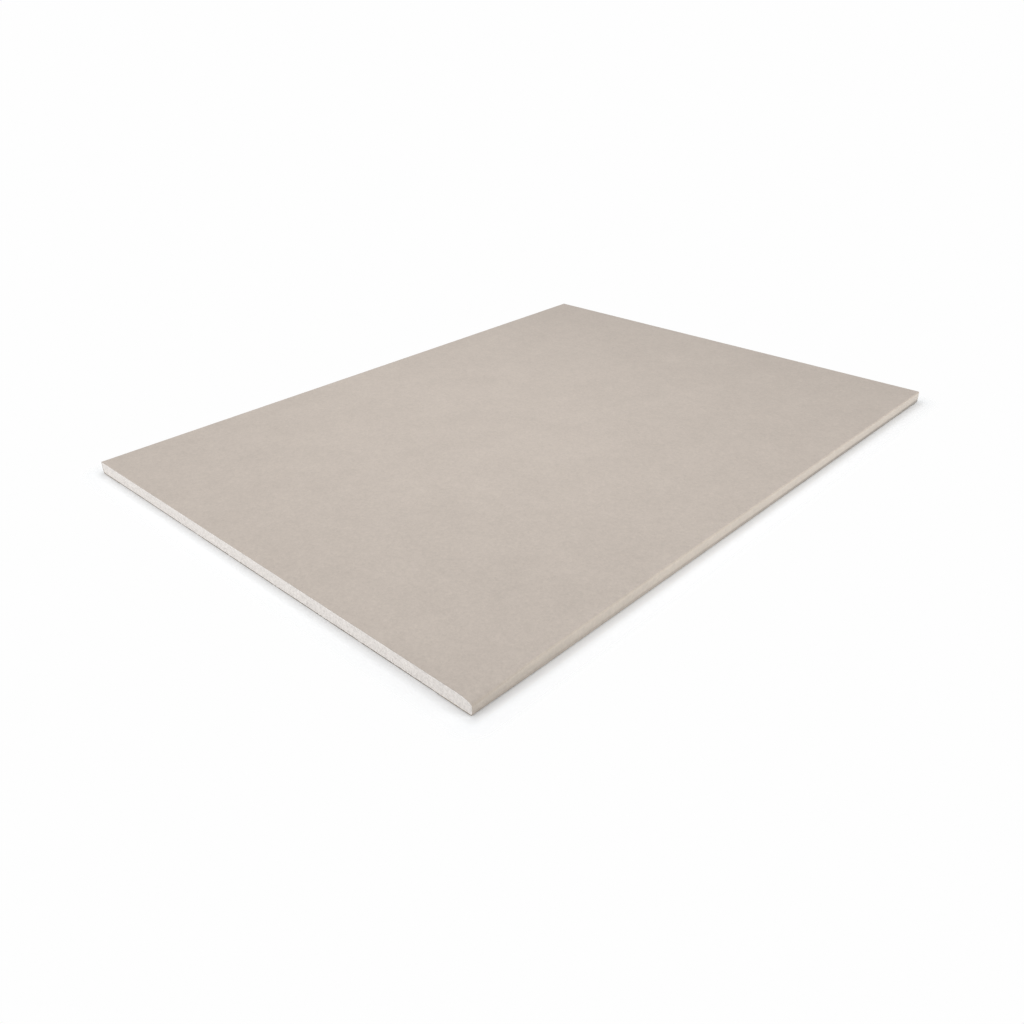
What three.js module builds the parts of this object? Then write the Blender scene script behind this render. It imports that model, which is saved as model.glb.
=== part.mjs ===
// A sheet of gypsum board (drywall), lying on its back. A cast gypsum core sits between two
// paper liners. The face liner wraps both long edges and its margins fold under the back. The
// back liner laps over those folds. Both ends are cut, so they show the core.
//
// Units are millimetres. X runs across the sheet from one wrapped edge to the other, Y runs
// along it from one cut end to the other, and +Z points from the back to the face. The origin
// is at the centre of the back.

import * as THREE from "three";

// Driving dimensions
const boardWidth = 600; // over the two wrapped edges
const boardLength = 800; // over the two cut ends
const boardThickness = 15; // over both liners
const linerThickness = 0.4; // of each paper liner
const faceEdgeRadius = 1.5; // outside radius where the face rolls into a wrapped edge
const backEdgeRadius = 1.5; // outside radius where a wrapped edge rolls into the back
const flapReach = 38; // from a wrapped edge to the end of its flap under the back
const backLinerMargin = 12; // from a wrapped edge to the edge of the back liner
const quarterTurnFacets = 12; // straight facets in each rolled corner

// Levels and turning points of the section. The flaps lie on the back liner, and the core
// steps up over each flap by the flap's own thickness.
const flapUnderside = linerThickness;
const flapEnd = boardWidth / 2 - flapReach;
const edgeHeight = boardThickness - flapUnderside;
const backRadius = Math.min(backEdgeRadius, edgeHeight / 2);
const faceRadius = Math.min(faceEdgeRadius, edgeHeight - backRadius);
const backTurn = new THREE.Vector2(boardWidth / 2 - backRadius, flapUnderside + backRadius);
const faceTurn = new THREE.Vector2(boardWidth / 2 - faceRadius, boardThickness - faceRadius);

// The wrapped section at a depth below the face liner's outer surface, as points from the end
// of the right flap, round the right edge, over the face and round the left edge to the end of
// the left flap. Both sides of the liner, and the core that it wraps, are made from this.
function wrapLine(depth) {
  const quarter = Math.PI / 2;
  const turns = new THREE.Path();
  turns.absarc(backTurn.x, backTurn.y, backRadius - depth, -quarter, 0);
  turns.absarc(faceTurn.x, faceTurn.y, faceRadius - depth, 0, quarter);
  turns.absarc(-faceTurn.x, faceTurn.y, faceRadius - depth, quarter, 2 * quarter);
  turns.absarc(-backTurn.x, backTurn.y, backRadius - depth, 2 * quarter, 3 * quarter);
  return [
    new THREE.Vector2(flapEnd, flapUnderside + depth),
    ...turns.getPoints(quarterTurnFacets / 2), // a path halves the steps of an arc
    new THREE.Vector2(-flapEnd, flapUnderside + depth),
  ];
}

const wrapOutside = wrapLine(0);
const wrapInside = wrapLine(linerThickness);

// The core fills the wrap, and between the flaps it reaches down to the back liner.
const coreSection = [
  new THREE.Vector2(-flapEnd, flapUnderside),
  new THREE.Vector2(flapEnd, flapUnderside),
  ...wrapInside,
];

const faceLinerSection = [...wrapOutside, ...wrapInside.toReversed()];

const backLinerEdge = boardWidth / 2 - backLinerMargin;
const backLinerSection = [
  new THREE.Vector2(-backLinerEdge, 0),
  new THREE.Vector2(backLinerEdge, 0),
  new THREE.Vector2(backLinerEdge, linerThickness),
  new THREE.Vector2(-backLinerEdge, linerThickness),
];

const gypsum = new THREE.MeshStandardMaterial({ color: 0xe9e5e0, roughness: 0.9 });
const facePaper = new THREE.MeshStandardMaterial({ color: 0xcac0b6, roughness: 0.8 });
const backPaper = new THREE.MeshStandardMaterial({ color: 0xa89c8c, roughness: 0.9 });

// One layer of the sheet: its section, extruded over the sheet's length.
function layer(name, section, material) {
  const geometry = new THREE.ExtrudeGeometry(new THREE.Shape(section), {
    depth: boardLength,
    bevelEnabled: false,
  });
  const mesh = new THREE.Mesh(geometry, material);
  mesh.name = name;
  return mesh;
}

// A section is drawn in a plane of X and height, and its extrusion is turned to run along Y.
const sheet = new THREE.Group();
sheet.rotation.x = Math.PI / 2;
sheet.position.y = boardLength / 2;
sheet.add(
  layer("gypsum_core", coreSection, gypsum),
  layer("face_paper", faceLinerSection, facePaper),
  layer("back_paper", backLinerSection, backPaper),
);

const group = new THREE.Group();
group.add(sheet);

export default group;
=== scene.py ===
"""A sheet of gypsum board, dressed as it is photographed: on its back on a studio floor.

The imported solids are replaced, node for node, by a face liner, a core with porous cut ends
and a back liner. Metres throughout, in the part's own frame: X across the sheet, Y along it
and Z up from the floor.
"""

import math

import bpy
import numpy as np
from mathutils import Matrix, Vector


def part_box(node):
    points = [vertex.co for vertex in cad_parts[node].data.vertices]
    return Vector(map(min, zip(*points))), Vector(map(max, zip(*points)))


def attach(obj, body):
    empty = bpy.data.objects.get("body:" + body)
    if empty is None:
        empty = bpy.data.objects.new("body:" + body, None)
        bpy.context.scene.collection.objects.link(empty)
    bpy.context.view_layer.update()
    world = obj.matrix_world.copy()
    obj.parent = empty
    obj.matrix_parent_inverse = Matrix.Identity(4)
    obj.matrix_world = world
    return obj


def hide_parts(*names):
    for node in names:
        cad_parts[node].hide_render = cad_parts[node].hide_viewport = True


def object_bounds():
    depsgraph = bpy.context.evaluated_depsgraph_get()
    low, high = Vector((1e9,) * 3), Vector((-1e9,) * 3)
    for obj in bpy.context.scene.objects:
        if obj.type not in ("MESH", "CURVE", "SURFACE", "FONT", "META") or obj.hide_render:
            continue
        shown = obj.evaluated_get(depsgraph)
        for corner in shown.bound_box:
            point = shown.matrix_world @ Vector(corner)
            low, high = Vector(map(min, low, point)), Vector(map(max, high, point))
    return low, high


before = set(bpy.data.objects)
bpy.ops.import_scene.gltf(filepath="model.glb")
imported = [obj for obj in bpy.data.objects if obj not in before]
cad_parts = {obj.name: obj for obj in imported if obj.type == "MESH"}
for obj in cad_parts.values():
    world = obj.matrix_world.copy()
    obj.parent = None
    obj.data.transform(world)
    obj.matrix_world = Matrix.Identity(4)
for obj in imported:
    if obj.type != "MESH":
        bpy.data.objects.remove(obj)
cad_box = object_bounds()

MM = 0.001

# ---------------------------------------------------------------------------------------
# Sizes
# ---------------------------------------------------------------------------------------
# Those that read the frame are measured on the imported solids. The others repeat the part's
# own section.
WIDTH, LENGTH, THICKNESS = cad_box[1] - cad_box[0]
NEAR_END = -LENGTH / 2
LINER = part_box("back_paper")[1].z
BACK_LINER_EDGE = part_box("back_paper")[1].x
FLAP_REACH = 38 * MM  # from a wrapped edge to the end of its flap
FLAP_END = WIDTH / 2 - FLAP_REACH
FACE_RADIUS = 1.5 * MM
BACK_RADIUS = 1.5 * MM

# One corner has been knocked, so the right edge is rounder towards the near end. Its turns
# are given as radii (across, up).
KNOCKED_FACE_RADII = np.array([16, 5]) * MM
KNOCKED_BACK_RADII = np.array([3, 3]) * MM
KNOCKED_REACH = 80 * MM  # from the near end to where the edge is plain again

# Steps of the liners' meshes
TURN_STEPS = 8
EDGE_STEPS = 5
FLAP_STEPS = 10
FACE_STEP = 1.5 * MM  # across the face
BACK_STEP = 6 * MM  # across the back liner
ROW_STEP = 12 * MM  # along the sheet
END_ROWS = np.array([0, 0.5, 1.2, 2.5, 4.5, 7.5, 12, 18, 26, 36]) * MM  # in from a cut end

# Steps of the core's mesh
CORE_COLUMN_STEP = 0.4 * MM  # across the sheet
CORE_LAYERS = 24  # from the back to the face
CORE_ROWS = np.array([12, 35, 75]) * MM  # in from the near end

# Between the flaps the core slopes down to the back liner.
CORE_SLOPE_GAP = 1 * MM  # from the end of a flap to the top of the slope
CORE_SLOPE_WIDTH = 1.5 * MM

# Relief, as (bump size, bump height), all cut inwards from the surface
PAPER_RELIEF = [(90 * MM, 0.05 * MM), (36 * MM, 0.03 * MM)]
RIM_RELIEF = [(17 * MM, 0.10 * MM), (6 * MM, 0.07 * MM), (3 * MM, 0.06 * MM)]
RIM_REACH = 6 * MM  # how far in from a cut the ragged rim fades out
CORE_END_RELIEF = [
    (26 * MM, 0.10 * MM),
    (7 * MM, 0.08 * MM),
    (2.6 * MM, 0.07 * MM),
    (1.1 * MM, 0.05 * MM),
]
CORE_SETBACK = 0.12 * MM  # of the core's ends from the plane of the cut
BACK_LINER_SETBACK = 0.5 * MM  # of the back liner's rims from the plane of the cut
NOISE_TABLE = 256  # random values along each side of a noise's table, which then repeats

# Pores in the core's ends
PORES_PER_END = 260
PORE_RADII = (0.45 * MM, 1.1 * MM)
PORE_DEPTH = 0.7  # as a share of a pore's radius

# Crumbs broken out of the core's ends, beside the liners
CRUMB_SIZES = (6 * MM, 2 * MM)
FACE_CHIP_REACH = 1.2 * MM  # from the liner into the core's end
FACE_CHIP_DEPTH = 0.4 * MM
FACE_CHIP_LEVEL = 0.35  # of the noise, over which a crumb has gone
BACK_CHIP_REACH = 0.8 * MM
BACK_CHIP_DEPTH = 1.7 * MM  # deeper, because the back breaks last
FLAP_CHIP_DEPTH = 0.5 * MM  # over the flaps, which hold the core together

SHARP_ANGLE = math.radians(50)  # between two faces, over which their edge is shaded sharp
MIRROR = np.array([-1, 1])  # from the right half of a section (x, z) to its left half

# ---------------------------------------------------------------------------------------
# Colours and painted shade
# ---------------------------------------------------------------------------------------
# Colours, as linear values
FACE_PAPER_COLOUR = (0.545, 0.482, 0.429)
EDGE_PAPER_COLOUR = (0.600, 0.523, 0.443)
GYPSUM_COLOUR = (0.925, 0.874, 0.833)
BACK_PAPER_COLOUR = (0.360, 0.305, 0.240)
CUT_FACE_PAPER_COLOUR = (0.431, 0.372, 0.312)
# The back paper's cut rim is darker than the paper itself, partly as painted shade of the dark
# line where the sheet meets the floor.
CUT_BACK_PAPER_AND_SHADE_COLOUR = (0.303, 0.257, 0.211)
TANNING_LEANS = (0.5, 1.0)  # sideways lean of a normal where the tan begins and is full

# Painted shade on the wrapped edges: their lower half darker, most towards the near end, and a
# painted shadow low along the bottom where the sheet meets the floor, weakest at the near end.
# Each pair holds the places where it is full and where it is least.
NEAR_END_SHADE_ALONG = (NEAR_END + 20 * MM, NEAR_END + 240 * MM)
NEAR_END_SHADE_UP = (7 * MM, 14 * MM)
NEAR_END_SHADE_LEAST = 0.3  # what is left far from the near end
NEAR_END_SHADE_DARKENING = 0.189
FLOOR_LINE_SHADE_ALONG = (LENGTH / 4, NEAR_END)
FLOOR_LINE_SHADE_UP = (3.6 * MM, 5.6 * MM)
FLOOR_LINE_SHADE_LEAST = 0.2  # what is left at the near end
FLOOR_LINE_SHADE_DARKENING = 0.46
SHADE_STOP_UP = (1.5 * MM, 0.5 * MM)  # where the painted shade fades out above the underside

# ---------------------------------------------------------------------------------------
# Studio
# ---------------------------------------------------------------------------------------
BACKGROUND = 0.991  # grey of the world as it is seen, also where the floor has faded
WORLD_LIGHT = 0.545  # strength of the light that the world casts
FLOOR_SIZE = 3.0
FLOOR_TINT = (0.976, 0.991, 1.003)
FLOOR_STRENGTH = 0.80  # of the light that it returns
FLOOR_SEEN_STRENGTH = 1.065  # of what the camera and reflections see
FLOOR_FADE = (4 * MM, 30 * MM)  # out from the sheet, between which the seen floor fades away

# Lamps as (place, what it points at, size, power)
LAMPS = [
    ((-0.15, -0.05, 0.8), (-0.15, -0.05, 0.0), 0.6, 2.20),  # over the face
    ((1.3, 0.22, 0.28), (0.3, 0.05, 0.0), 0.6, 4.20),  # low, on the right
    ((1.028, 0.0, 1.226), (0.0, 0.0, 0.0), 0.8, 2.30),  # high, on the right
    ((-0.727, 0.727, 1.226), (0.0, 0.0, 0.0), 0.8, 1.05),  # high, beyond the far left corner
    ((0.0, -1.41, 0.513), (0.0, 0.0, 0.0), 0.5, 2.50),  # low, in front of the near end
    ((-0.8, -1.0, 0.25), (-0.2, -0.4, 0.0), 0.5, 0.75),  # low, in front of the near left corner
]

# The photograph's camera, fitted to the sheet's outline there. Its turns are in degrees, and
# its lens and sensor in millimetres.
CAMERA_PLACE = (0.68102, -0.74728, 0.46324)
CAMERA_YAW = 134.08
CAMERA_PITCH = 29.367  # below the horizon
CAMERA_ROLL = 1.149
CAMERA_LENS = 32.112
CAMERA_SENSOR = 36
CAMERA_CLIP = (0.01, 100)


# ---------------------------------------------------------------------------------------
# Noise
# ---------------------------------------------------------------------------------------
def smooth(share):
    """A share from 0 to 1, eased at both ends."""
    return share**2 * (3 - 2 * share)


def value_noise(u, v, cell, seed):
    """Smooth noise from 0 to 1 at the points (u, v), with bumps about one cell across."""
    table = np.random.default_rng(seed).uniform(0, 1, (NOISE_TABLE, NOISE_TABLE))
    column, row = np.floor(u / cell).astype(int), np.floor(v / cell).astype(int)
    across, up = smooth(u / cell - column), smooth(v / cell - row)

    def corner(right, above):
        return table[(column + right) % NOISE_TABLE, (row + above) % NOISE_TABLE]

    lower = corner(0, 0) * (1 - across) + corner(1, 0) * across
    upper = corner(0, 1) * (1 - across) + corner(1, 1) * across
    return lower * (1 - up) + upper * up


def relief(u, v, layers, seed):
    """How far a surface lies below its highest point, from layers of noise."""
    depth = sum(
        height * value_noise(u, v, cell, seed + layer)
        for layer, (cell, height) in enumerate(layers)
    )
    return depth - depth.min()


# ---------------------------------------------------------------------------------------
# Meshes
# ---------------------------------------------------------------------------------------
def grid_quads(numbers):
    """Quads over a grid of vertex numbers."""
    quads = np.stack(
        [numbers[:-1, :-1], numbers[:-1, 1:], numbers[1:, 1:], numbers[1:, :-1]], -1
    )
    return quads.reshape(-1, 4)


def strip_quads(one, other):
    """Quads between two rows of vertex numbers."""
    return np.stack([one[:-1], one[1:], other[1:], other[:-1]], -1)


def add_object(name, data):
    """A new object in the scene."""
    made = bpy.data.objects.new(name, data)
    bpy.context.scene.collection.objects.link(made)
    return made


def make_piece(name, points, finishes, node):
    """A piece from its points and pairs of (quads, material), in place of a CAD node."""
    quads = np.concatenate([made for made, _ in finishes])
    mesh = bpy.data.meshes.new(name)
    mesh.from_pydata(points.tolist(), [], quads.tolist())
    materials = list(dict.fromkeys(material for _, material in finishes))
    for material in materials:
        mesh.materials.append(material)
    numbers = [np.full(len(made), materials.index(material)) for made, material in finishes]
    mesh.polygons.foreach_set("material_index", np.concatenate(numbers).astype(np.int32))
    mesh.shade_smooth()
    mesh.set_sharp_from_angle(angle=SHARP_ANGLE)
    piece = add_object(name, mesh)
    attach(piece, "root")
    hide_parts(node)
    return piece


# ---------------------------------------------------------------------------------------
# The sheet's section
# ---------------------------------------------------------------------------------------
def turn_radii(y, knocked):
    """Radii (across, up) of an edge's turns into the face and into the back, at y."""
    face, back = np.full(2, FACE_RADIUS), np.full(2, BACK_RADIUS)
    if knocked:
        share = smooth(max(1 - (y - NEAR_END) / KNOCKED_REACH, 0))
        face += (KNOCKED_FACE_RADII - face) * share
        back += (KNOCKED_BACK_RADII - back) * share
    return face, back


def half_wrap(turns, depth):
    """The face liner's right half at a depth below its outer surface.

    Returns points (x, z) and outward normals, from the flap's end round the edge to the
    middle of the face.
    """
    face_radii, back_radii = turns
    back_turn = np.radians(np.linspace(-90, 0, TURN_STEPS, endpoint=False))
    face_turn = np.radians(np.linspace(0, 90, TURN_STEPS, endpoint=False))
    face_steps = round(WIDTH / 2 / FACE_STEP)
    angle = np.concatenate([
        np.full(FLAP_STEPS, -math.pi / 2),
        back_turn,
        np.zeros(EDGE_STEPS),
        face_turn,
        np.full(face_steps, math.pi / 2),
    ])
    normals = np.stack([np.cos(angle), np.sin(angle)], -1)
    back_x, back_z = WIDTH / 2 - back_radii[0], LINER + back_radii[1]
    face_x, face_z = WIDTH / 2 - face_radii[0], THICKNESS - face_radii[1]
    centre_x = np.concatenate([
        np.linspace(FLAP_END, back_x, FLAP_STEPS, endpoint=False),
        np.full(TURN_STEPS, back_x),
        np.linspace(back_x, face_x, EDGE_STEPS, endpoint=False),
        np.full(TURN_STEPS, face_x),
        np.linspace(face_x, 0, face_steps),
    ])
    centre_z = np.concatenate([
        np.full(FLAP_STEPS + TURN_STEPS, back_z),
        np.linspace(back_z, face_z, EDGE_STEPS, endpoint=False),
        np.full(TURN_STEPS + face_steps, face_z),
    ])
    radii = np.concatenate([
        np.tile(back_radii, (FLAP_STEPS + TURN_STEPS, 1)),
        np.linspace(back_radii, face_radii, EDGE_STEPS, endpoint=False),
        np.tile(face_radii, (TURN_STEPS + face_steps, 1)),
    ])
    centres = np.stack([centre_x, centre_z], -1)
    return centres + (radii - depth) * normals, normals


def wrap(y, depth):
    """The whole of the face liner's section at y, as points and outward normals."""
    right, right_normals = half_wrap(turn_radii(y, knocked=True), depth)
    left, left_normals = half_wrap(turn_radii(y, knocked=False), depth)
    points = np.concatenate([right, left[-2::-1] * MIRROR])
    normals = np.concatenate([right_normals, left_normals[-2::-1] * MIRROR])
    return points, normals


# ---------------------------------------------------------------------------------------
# Liners
# ---------------------------------------------------------------------------------------
def liner_rows():
    """Places along the sheet of the liners' rows of vertices, finer towards the cuts."""
    half = LENGTH / 2
    reach = half - END_ROWS[-1]
    middle = np.linspace(-reach, reach, round(2 * reach / ROW_STEP) + 1)
    return np.concatenate([END_ROWS[:-1] - half, middle, half - END_ROWS[-2::-1]])


def ragged_rims(rows, across, seed):
    """Shifts along Y that leave a liner's cut ends a little uneven, a row for each of rows."""
    shift = np.zeros((len(rows), len(across)))
    for end in (-1, 1):
        inset = LENGTH / 2 - end * rows
        strength = np.clip(1 - inset / RIM_REACH, 0, 1)
        rim = relief(across, np.full_like(across, end), RIM_RELIEF, seed + end)
        shift -= end * strength[:, None] * rim
    return shift


def make_liner(name, outer, glued, bands, cut_finish, slot_name, node):
    """A paper shell from grids of points on its outer side and on the side glued down.

    Bands are pairs of (last column, finish), in order across the outer side.
    """
    rows, columns = outer.shape[:2]
    out = np.arange(rows * columns).reshape(rows, columns)
    glue = out + rows * columns
    finishes, first = [], 0
    for last, finish in bands:
        finishes.append((grid_quads(out[:, first : last + 1])[:, ::-1], finish))
        first = last
    cut = np.concatenate([
        strip_quads(out[0], glue[0]),
        strip_quads(glue[-1], out[-1]),
        strip_quads(glue[:, 0], out[:, 0]),
        strip_quads(out[:, -1], glue[:, -1]),
        grid_quads(glue),
    ])
    finishes.append((cut, cut_finish))
    points = np.concatenate([outer.reshape(-1, 3), glued.reshape(-1, 3)])
    return make_piece(name, points, finishes, node)


def make_face_liner():
    """The face paper, wrapped round both long edges and folded under as two flaps."""
    rows = liner_rows()
    sides = []
    for depth in (0, LINER):
        sections = [wrap(y, depth) for y in rows]
        points = np.array([section for section, _ in sections])
        normals = np.array([normal for _, normal in sections])
        sides.append((points, normals))
    (outer, normals), (glued, _) = sides
    # The way round the section is measured at the far end, where no corner is knocked.
    across = np.concatenate([[0], np.cumsum(np.hypot(*np.diff(outer[-1], axis=0).T))])
    along = np.broadcast_to(rows[:, None], outer.shape[:2])
    sunk = relief(np.broadcast_to(across, along.shape), along, PAPER_RELIEF, seed=11)
    outer = outer - sunk[..., None] * normals
    along = along + ragged_rims(rows, across, seed=31)
    grids = [np.stack([side[..., 0], along, side[..., 1]], -1) for side in (outer, glued)]
    below, beside = FLAP_STEPS + TURN_STEPS, FLAP_STEPS + TURN_STEPS + EDGE_STEPS
    last = len(across) - 1
    face_paper, edge_paper = face_paper_finish(), edge_paper_finish()
    bands = [
        (below, face_paper),
        (beside, edge_paper),
        (last - beside, face_paper),
        (last - below, edge_paper),
        (last, face_paper),
    ]
    cut = cut_paper_finish("cut_face_paper", CUT_FACE_PAPER_COLOUR)
    return make_liner("face_liner", *grids, bands, cut, "face_paper", "face_paper")


def make_back_liner():
    """The back paper, laid flat over the core and over both flaps."""
    rows = liner_rows()
    steps = round(2 * BACK_LINER_EDGE / BACK_STEP)
    across = np.linspace(-BACK_LINER_EDGE, BACK_LINER_EDGE, steps + 1)
    x, along = np.meshgrid(across, rows)
    sunk = relief(x, along, PAPER_RELIEF, seed=51)
    along = along * (1 - BACK_LINER_SETBACK / (LENGTH / 2)) + ragged_rims(rows, across, seed=71)
    outer = np.stack([x, along, sunk], -1)
    glued = np.stack([x, along, np.full_like(x, LINER)], -1)
    bands = [(steps, back_paper_finish())]
    # Its cut rim is painted darker, as shade where the sheet meets the floor.
    cut = cut_paper_finish("cut_back_paper", CUT_BACK_PAPER_AND_SHADE_COLOUR)
    return make_liner("back_liner", outer, glued, bands, cut, "back_paper", "back_paper")


# ---------------------------------------------------------------------------------------
# Core
# ---------------------------------------------------------------------------------------
def half_core(turns):
    """Bottom and top points (x, z) of the core's columns, from its middle to its right side."""
    face_radii, back_radii = turns
    turn = np.radians(np.linspace(0, 90, TURN_STEPS + 1)[1:])
    flat_steps = round(WIDTH / 2 / CORE_COLUMN_STEP)

    def outline(radii, level, inwards):
        """Inside the liner, from the middle of its flat side at a level and round its turn."""
        across, up = radii
        flat_x = np.linspace(0, WIDTH / 2 - across, flat_steps)
        turn_x = WIDTH / 2 - across + (across - LINER) * np.sin(turn)
        turn_in = LINER + (up - LINER) * (1 - np.cos(turn))
        x = np.concatenate([flat_x, turn_x])
        z = level + inwards * np.concatenate([np.full(flat_steps, LINER), turn_in])
        return np.stack([x, z], -1)

    bottom = outline(back_radii, LINER, 1)
    top = outline(face_radii, THICKNESS, -1)
    slope = np.clip((FLAP_END - CORE_SLOPE_GAP - bottom[:, 0]) / CORE_SLOPE_WIDTH, 0, 1)
    bottom[:, 1] -= LINER * slope
    return bottom, top


def core_section(y):
    """The core's section at y, as a grid of points (x, z) in layers from bottom to top."""
    right = half_core(turn_radii(y, knocked=True))
    left = half_core(turn_radii(y, knocked=False))
    bottom, top = (
        np.concatenate([one[:0:-1] * MIRROR, other]) for one, other in zip(left, right)
    )
    even = np.linspace(0, 1, CORE_LAYERS + 1)
    finer_at_ends = (1 - np.cos(math.pi * even)) / 2
    height = (even + finer_at_ends)[:, None, None] / 2
    return bottom + height * (top - bottom)


def pores(section, seed):
    """Depth of the round pores that a cut opens in the core, over a grid of points."""
    random = np.random.default_rng(seed)
    places = random.uniform(section.min((0, 1)), section.max((0, 1)), (PORES_PER_END, 2))
    smallest, largest = PORE_RADII
    radii = smallest + (largest - smallest) * random.uniform(0, 1, PORES_PER_END) ** 3
    depth = np.zeros(section.shape[:2])
    for place, radius in zip(places, radii):
        off = ((section - place) ** 2).sum(-1)
        depth = np.maximum(depth, PORE_DEPTH * np.sqrt(np.clip(radius**2 - off, 0, None)))
    return depth


def chips(section, seed):
    """Depth of the crumbs that have broken away beside the liners, over a grid of points."""
    x, z = section[..., 0], section[..., 1]
    bottom, top = section[0, :, 1], section[-1, :, 1]
    beside_face = np.clip(1 - (top - z) / FACE_CHIP_REACH, 0, 1)
    beside_back = np.clip(1 - (z - bottom) / BACK_CHIP_REACH, 0, 1)
    large, small = (
        value_noise(x, z, size, seed + layer) for layer, size in enumerate(CRUMB_SIZES)
    )
    gone = np.clip(large * small - FACE_CHIP_LEVEL, 0, None) / (1 - FACE_CHIP_LEVEL)
    between_flaps = np.clip(2 - bottom / LINER, 0, 1)
    back_depth = FLAP_CHIP_DEPTH + (BACK_CHIP_DEPTH - FLAP_CHIP_DEPTH) * between_flaps
    face_chips = FACE_CHIP_DEPTH * beside_face * gone
    back_chips = back_depth * beside_back * (large + small) / 2
    return face_chips + back_chips


def cut_end(section, end, seed):
    """Points of one cut end of the core, which faces along -Y or +Y."""
    x, z = section[..., 0], section[..., 1]
    depth = CORE_SETBACK + relief(x, z, CORE_END_RELIEF, seed)
    depth += pores(section, seed + 10) + chips(section, seed + 20)
    return np.stack([x, end * (LENGTH / 2 - depth), z], -1)


def ring(grid):
    """The border of a grid: along the bottom, up the right, back along the top and down."""
    return np.concatenate([grid[0], grid[1:-1, -1], grid[-1, ::-1], grid[-2::-1, 0]])


def make_core():
    """The cast gypsum core, with its cut ends as fine grids and its hidden sides coarse."""
    near = cut_end(core_section(NEAR_END), -1, seed=101)
    far = cut_end(core_section(LENGTH / 2), 1, seed=201)
    count = near.shape[0] * near.shape[1]
    near_numbers = np.arange(count).reshape(near.shape[:2])
    far_numbers = near_numbers + count
    points = [near.reshape(-1, 3), far.reshape(-1, 3)]
    rings = [ring(near_numbers)]
    for inset in CORE_ROWS:
        y = NEAR_END + inset
        x, z = ring(core_section(y))[:-1].T
        numbers = sum(len(made) for made in points) + np.arange(len(x))
        rings.append(np.append(numbers, numbers[0]))
        points.append(np.stack([x, np.full_like(x, y), z], -1))
    rings.append(ring(far_numbers))
    sides = [strip_quads(one, other)[:, ::-1] for one, other in zip(rings, rings[1:])]
    quads = [grid_quads(near_numbers), grid_quads(far_numbers)[:, ::-1], *sides]
    finishes = [(np.concatenate(quads), gypsum_finish())]
    return make_piece("core", np.concatenate(points), finishes, "gypsum_core")


# ---------------------------------------------------------------------------------------
# Nodes
# ---------------------------------------------------------------------------------------
def add(tree, kind, inputs, **settings):
    """A node with its settings, and its inputs as values or links by socket name or number."""
    made = tree.nodes.new("ShaderNode" + kind)
    for name, value in settings.items():
        setattr(made, name, value)
    for name, value in inputs.items():
        if isinstance(value, bpy.types.NodeSocket):
            tree.links.new(value, made.inputs[name])
        else:
            made.inputs[name].default_value = value
    return made


def maths(tree, operation, *values):
    """A number worked out from other numbers."""
    inputs = dict(enumerate(values))
    return add(tree, "Math", inputs, operation=operation).outputs["Value"]


def vector_maths(tree, operation, *values, output="Vector"):
    """A vector worked out from other vectors, or a number where the output is Value."""
    inputs = dict(enumerate(values))
    return add(tree, "VectorMath", inputs, operation=operation).outputs[output]


def total(tree, parts, start=0.0):
    """A starting value plus each of the parts, which are pairs of (value, weight)."""
    for value, weight in parts:
        start = maths(tree, "MULTIPLY_ADD", value, weight, start)
    return start


def spread(tree, value, first, last, onto=(0, 1), **settings):
    """A value between first and last, mapped onto another range and kept inside it."""
    inputs = {
        "Value": value,
        "From Min": first,
        "From Max": last,
        "To Min": onto[0],
        "To Max": onto[1],
    }
    return add(tree, "MapRange", inputs, **settings).outputs["Result"]


def shaded(tree, colour, strength):
    """A colour made lighter or darker by a strength round 1."""
    inputs = {0: colour, "Scale": strength}
    return add(tree, "VectorMath", inputs, operation="SCALE").outputs["Vector"]


def mixed(tree, share, one, other):
    """One shader, with a share of it given over to another."""
    return add(tree, "MixShader", {0: share, 1: one, 2: other}).outputs["Shader"]


def position(tree, stretch=(1, 1, 1)):
    """Where a point lies on the sheet, in metres, with each axis shortened by its stretch."""
    at = add(tree, "TexCoord", {}).outputs["Object"]
    return vector_maths(tree, "MULTIPLY", at, tuple(1 / by for by in stretch))


def noise(tree, size, detail=0, roughness=0.5, stretch=(1, 1, 1), distortion=0):
    """Cloudy noise from 0 to 1, whose largest bumps are about size across."""
    inputs = {
        "Vector": position(tree, stretch),
        "Scale": 1 / size,
        "Detail": detail,
        "Roughness": roughness,
        "Distortion": distortion,
    }
    return add(tree, "TexNoise", inputs).outputs["Fac"]


def dots(tree, spacing, radius):
    """Round dots on a scattered pattern: 1 at a dot's middle and 0 outside its radius."""
    inputs = {"Vector": position(tree), "Scale": 1 / spacing}
    near = add(tree, "TexVoronoi", inputs).outputs["Distance"]
    return spread(tree, near, radius / spacing, 0)


# ---------------------------------------------------------------------------------------
# Finishes
# ---------------------------------------------------------------------------------------
def new_tree(name):
    """The empty node tree of a new material, and the material."""
    material = bpy.data.materials.new(name)
    material.use_nodes = True
    material.node_tree.nodes.clear()
    return material.node_tree, material


def finished(tree, material, colour, roughness, height, depth, specular=0.5):
    """Ends a material: its colour, its gloss and a bump of the given depth in metres."""
    bump = add(tree, "Bump", {"Height": height, "Distance": depth, "Strength": 1.0})
    inputs = {
        "Base Color": colour,
        "Roughness": roughness,
        "Specular IOR Level": specular,
        "Normal": bump.outputs["Normal"],
    }
    shader = add(tree, "BsdfPrincipled", inputs).outputs["BSDF"]
    add(tree, "OutputMaterial", {"Surface": shader})
    return material


def wrap_colour(tree):
    """Colour of the face paper, which tans as it turns from the face into a wrapped edge."""
    normal = add(tree, "NewGeometry", {}).outputs["Normal"]
    sideways = add(tree, "SeparateXYZ", {"Vector": normal}).outputs["X"]
    tanned = spread(tree, maths(tree, "ABSOLUTE", sideways), *TANNING_LEANS)
    ramp = add(tree, "ValToRGB", {"Fac": tanned})
    for element, colour in zip(ramp.color_ramp.elements, (FACE_PAPER_COLOUR, EDGE_PAPER_COLOUR)):
        element.color = (*colour, 1)
    return ramp.outputs["Color"]


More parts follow.
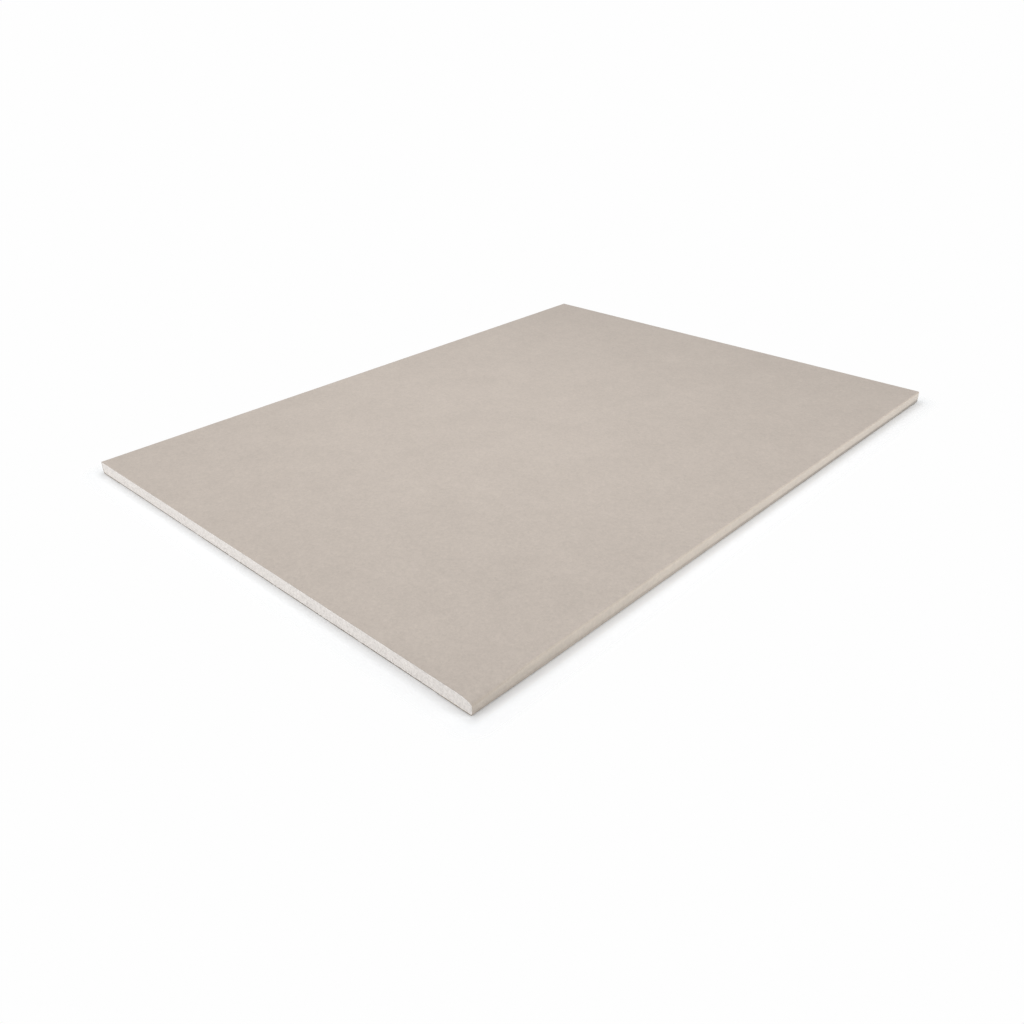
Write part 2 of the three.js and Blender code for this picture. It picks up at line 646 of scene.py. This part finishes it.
def painted_edge_shade(tree):
    """How much painted shade darkens a wrapped edge: its lower half towards the near end, and a
    painted shadow low along its bottom beyond.
    """
    at = add(tree, "SeparateXYZ", {"Vector": position(tree)}).outputs

    def shade_patch(along, up, least):
        """Painted shade that fades between two places along the edge and between two heights."""
        by_length = spread(tree, at["Y"], *along, (1, least))
        by_height = spread(tree, at["Z"], *up, (1, 0))
        return maths(tree, "MULTIPLY", by_length, by_height)

    # Painted shade on the lower half of the edge, strongest towards the near end.
    near_end_shade = shade_patch(NEAR_END_SHADE_ALONG, NEAR_END_SHADE_UP, NEAR_END_SHADE_LEAST)
    # Painted shadow low along the bottom of the edge, where the sheet meets the floor.
    floor_line_shade = shade_patch(FLOOR_LINE_SHADE_ALONG, FLOOR_LINE_SHADE_UP, FLOOR_LINE_SHADE_LEAST)
    darkening = total(tree, [(near_end_shade, NEAR_END_SHADE_DARKENING), (floor_line_shade, FLOOR_LINE_SHADE_DARKENING)])
    return maths(tree, "MULTIPLY", darkening, spread(tree, at["Z"], *SHADE_STOP_UP, (1, 0)))


def wrap_finish(name, roughness, specular, depth):
    """Calendered liner with faint clouds, a leathery grain, fibres, a few flecks, and painted
    shade low on the wrapped edges.
    """
    tree, material = new_tree(name)
    clouds = noise(tree, 60 * MM, detail=6, roughness=1.0)
    grain = noise(tree, 3.2 * MM, detail=3, roughness=0.85, distortion=0.6)
    fibres = noise(tree, 0.35 * MM, detail=1, stretch=(1, 9, 1), distortion=0.8)
    flecks = dots(tree, spacing=23 * MM, radius=0.5 * MM)
    # The last tone is painted shade low on the wrapped edges.
    tones = [(clouds, 0.36), (grain, 0.37), (fibres, 0.07), (flecks, -0.1), (painted_edge_shade(tree), -1.0)]
    return finished(
        tree,
        material,
        colour=shaded(tree, wrap_colour(tree), total(tree, tones, start=0.60)),
        roughness=spread(tree, grain, 0.25, 0.75, roughness),
        height=total(tree, [(clouds, 0.4), (grain, 0.5), (fibres, 0.2)]),
        depth=depth,
        specular=specular,
    )


def face_paper_finish():
    """Ivory-grey paper of the face."""
    return wrap_finish("face_paper", roughness=(0.58, 0.72), specular=0.2, depth=0.11 * MM)


def edge_paper_finish():
    """The same paper on a wrapped edge, burnished by handling."""
    return wrap_finish("edge_paper", roughness=(0.28, 0.36), specular=1.0, depth=0.03 * MM)


def cut_paper_finish(name, colour):
    """Raw fibres where the knife has gone through a liner."""
    tree, material = new_tree(name)
    fibres = noise(tree, 0.5 * MM, detail=3, roughness=0.7, stretch=(4, 1, 0.3))
    blotches = noise(tree, 6 * MM, detail=2)
    tone = total(tree, [(fibres, 0.4), (blotches, 0.2)], start=0.72)
    return finished(
        tree,
        material,
        colour=shaded(tree, colour, tone),
        roughness=spread(tree, fibres, 0.2, 0.8, (0.8, 0.95)),
        height=fibres,
        depth=0.25 * MM,
    )


def back_paper_finish():
    """Unbleached liner: darker and coarser, with recycled fibres and dark flecks."""
    tree, material = new_tree("back_paper")
    clouds = noise(tree, 45 * MM, detail=6, roughness=0.75)
    fibres = noise(tree, 0.6 * MM, detail=2, stretch=(1, 8, 1), distortion=1.2)
    flecks = dots(tree, spacing=5 * MM, radius=0.35 * MM)
    tone = total(tree, [(clouds, 0.16), (fibres, 0.14), (flecks, -0.3)], start=0.86)
    return finished(
        tree,
        material,
        colour=shaded(tree, BACK_PAPER_COLOUR, tone),
        roughness=spread(tree, fibres, 0.2, 0.8, (0.68, 0.84)),
        height=total(tree, [(clouds, 0.5), (fibres, 0.5)]),
        depth=0.08 * MM,
    )


def gypsum_finish():
    """Cast gypsum: chalky, with the fine bubbles and crumbs that a cut lays open."""
    tree, material = new_tree("gypsum")
    mottle = noise(tree, 11 * MM, detail=6, roughness=0.95)
    crumbs = noise(tree, 1.9 * MM, detail=3, roughness=0.6)
    bubbles = dots(tree, spacing=1.3 * MM, radius=0.42 * MM)
    # The bubbles are painted darker, as shade inside them.
    tone = total(tree, [(mottle, 0.28), (crumbs, 0.60), (bubbles, -0.16)], start=0.58)
    return finished(
        tree,
        material,
        colour=shaded(tree, GYPSUM_COLOUR, tone),
        roughness=spread(tree, crumbs, 0.2, 0.8, (0.84, 0.97)),
        height=total(tree, [(crumbs, 0.6), (mottle, 0.4), (bubbles, -0.8)]),
        depth=0.3 * MM,
        specular=0.3,
    )


# ---------------------------------------------------------------------------------------
# Floor, world, lamps and camera
# ---------------------------------------------------------------------------------------
def seen(tree):
    """1 for rays that show the background itself, and 0 for rays that carry its light."""
    path = add(tree, "LightPath", {}).outputs
    seen_or_reflected = maths(tree, "MAXIMUM", path["Is Camera Ray"], path["Is Glossy Ray"])
    return maths(tree, "MAXIMUM", seen_or_reflected, path["Is Transmission Ray"])


def floor_finish():
    """Pale matt floor that fades into the white surroundings away from the sheet."""
    tree, material = new_tree("floor")
    shown = seen(tree)
    strength = spread(tree, shown, 0, 1, (FLOOR_STRENGTH, FLOOR_SEEN_STRENGTH))
    matt = add(tree, "BsdfDiffuse", {"Color": shaded(tree, FLOOR_TINT, strength)}).outputs["BSDF"]
    clear = add(tree, "BsdfTransparent", {}).outputs["BSDF"]
    from_middle = vector_maths(tree, "ABSOLUTE", position(tree))
    past_sheet = vector_maths(tree, "SUBTRACT", from_middle, (WIDTH / 2, LENGTH / 2, 0))
    past_sheet = vector_maths(tree, "MAXIMUM", past_sheet, (0, 0, 0))
    out = vector_maths(tree, "LENGTH", past_sheet, output="Value")
    fade = spread(tree, out, *FLOOR_FADE, interpolation_type="SMOOTHSTEP")
    surface = mixed(tree, maths(tree, "MULTIPLY", fade, shown), matt, clear)
    add(tree, "OutputMaterial", {"Surface": surface})
    return material


def make_floor():
    """The plain pale floor under the sheet."""
    half = FLOOR_SIZE / 2
    corners = [(-half, -half, 0), (half, -half, 0), (half, half, 0), (-half, half, 0)]
    mesh = bpy.data.meshes.new("floor")
    mesh.from_pydata(corners, [], [(0, 1, 2, 3)])
    mesh.materials.append(floor_finish())
    floor = add_object("floor", mesh)


def make_world():
    """White surroundings that light the sheet only softly."""
    world = bpy.data.worlds.new("studio")
    world.use_nodes = True
    tree = world.node_tree
    tree.nodes.clear()

    def background(grey, strength):
        inputs = {"Color": (grey, grey, grey, 1), "Strength": strength}
        return add(tree, "Background", inputs).outputs["Background"]

    surface = mixed(tree, seen(tree), background(1, WORLD_LIGHT), background(BACKGROUND, 1))
    add(tree, "OutputWorld", {"Surface": surface})
    bpy.context.scene.world = world


def make_lamps():
    """Soft round lamps that the camera doesn't see."""
    for place, aim, size, power in LAMPS:
        data = bpy.data.lights.new("lamp", "AREA")
        data.shape = "DISK"
        data.size = size
        data.energy = power
        lamp = add_object("lamp", data)
        lamp.location = place
        towards = Vector(aim) - Vector(place)
        lamp.rotation_euler = towards.to_track_quat("-Z", "Y").to_euler()
        lamp.visible_camera = False


def make_camera():
    """The photograph's camera."""
    yaw, pitch, roll = (math.radians(turn) for turn in (CAMERA_YAW, CAMERA_PITCH, CAMERA_ROLL))
    ahead = Vector(
        (math.cos(yaw) * math.cos(pitch), math.sin(yaw) * math.cos(pitch), -math.sin(pitch))
    )
    level = Vector((math.sin(yaw), -math.cos(yaw), 0))
    down = ahead.cross(level)
    right = level * math.cos(roll) + down * math.sin(roll)
    up = level * math.sin(roll) - down * math.cos(roll)
    data = bpy.data.cameras.new("camera")
    data.sensor_width = CAMERA_SENSOR
    data.lens = CAMERA_LENS
    data.clip_start, data.clip_end = CAMERA_CLIP
    camera = add_object("camera", data)
    facing = Matrix((right, up, -ahead)).transposed()
    camera.matrix_world = Matrix.Translation(CAMERA_PLACE) @ facing.to_4x4()
    bpy.context.scene.camera = camera


# ---------------------------------------------------------------------------------------
# Scene
# ---------------------------------------------------------------------------------------
make_core()
make_face_liner()
make_back_liner()
make_floor()
make_world()
make_lamps()
make_camera()
bpy.context.scene.view_settings.view_transform = "Standard"
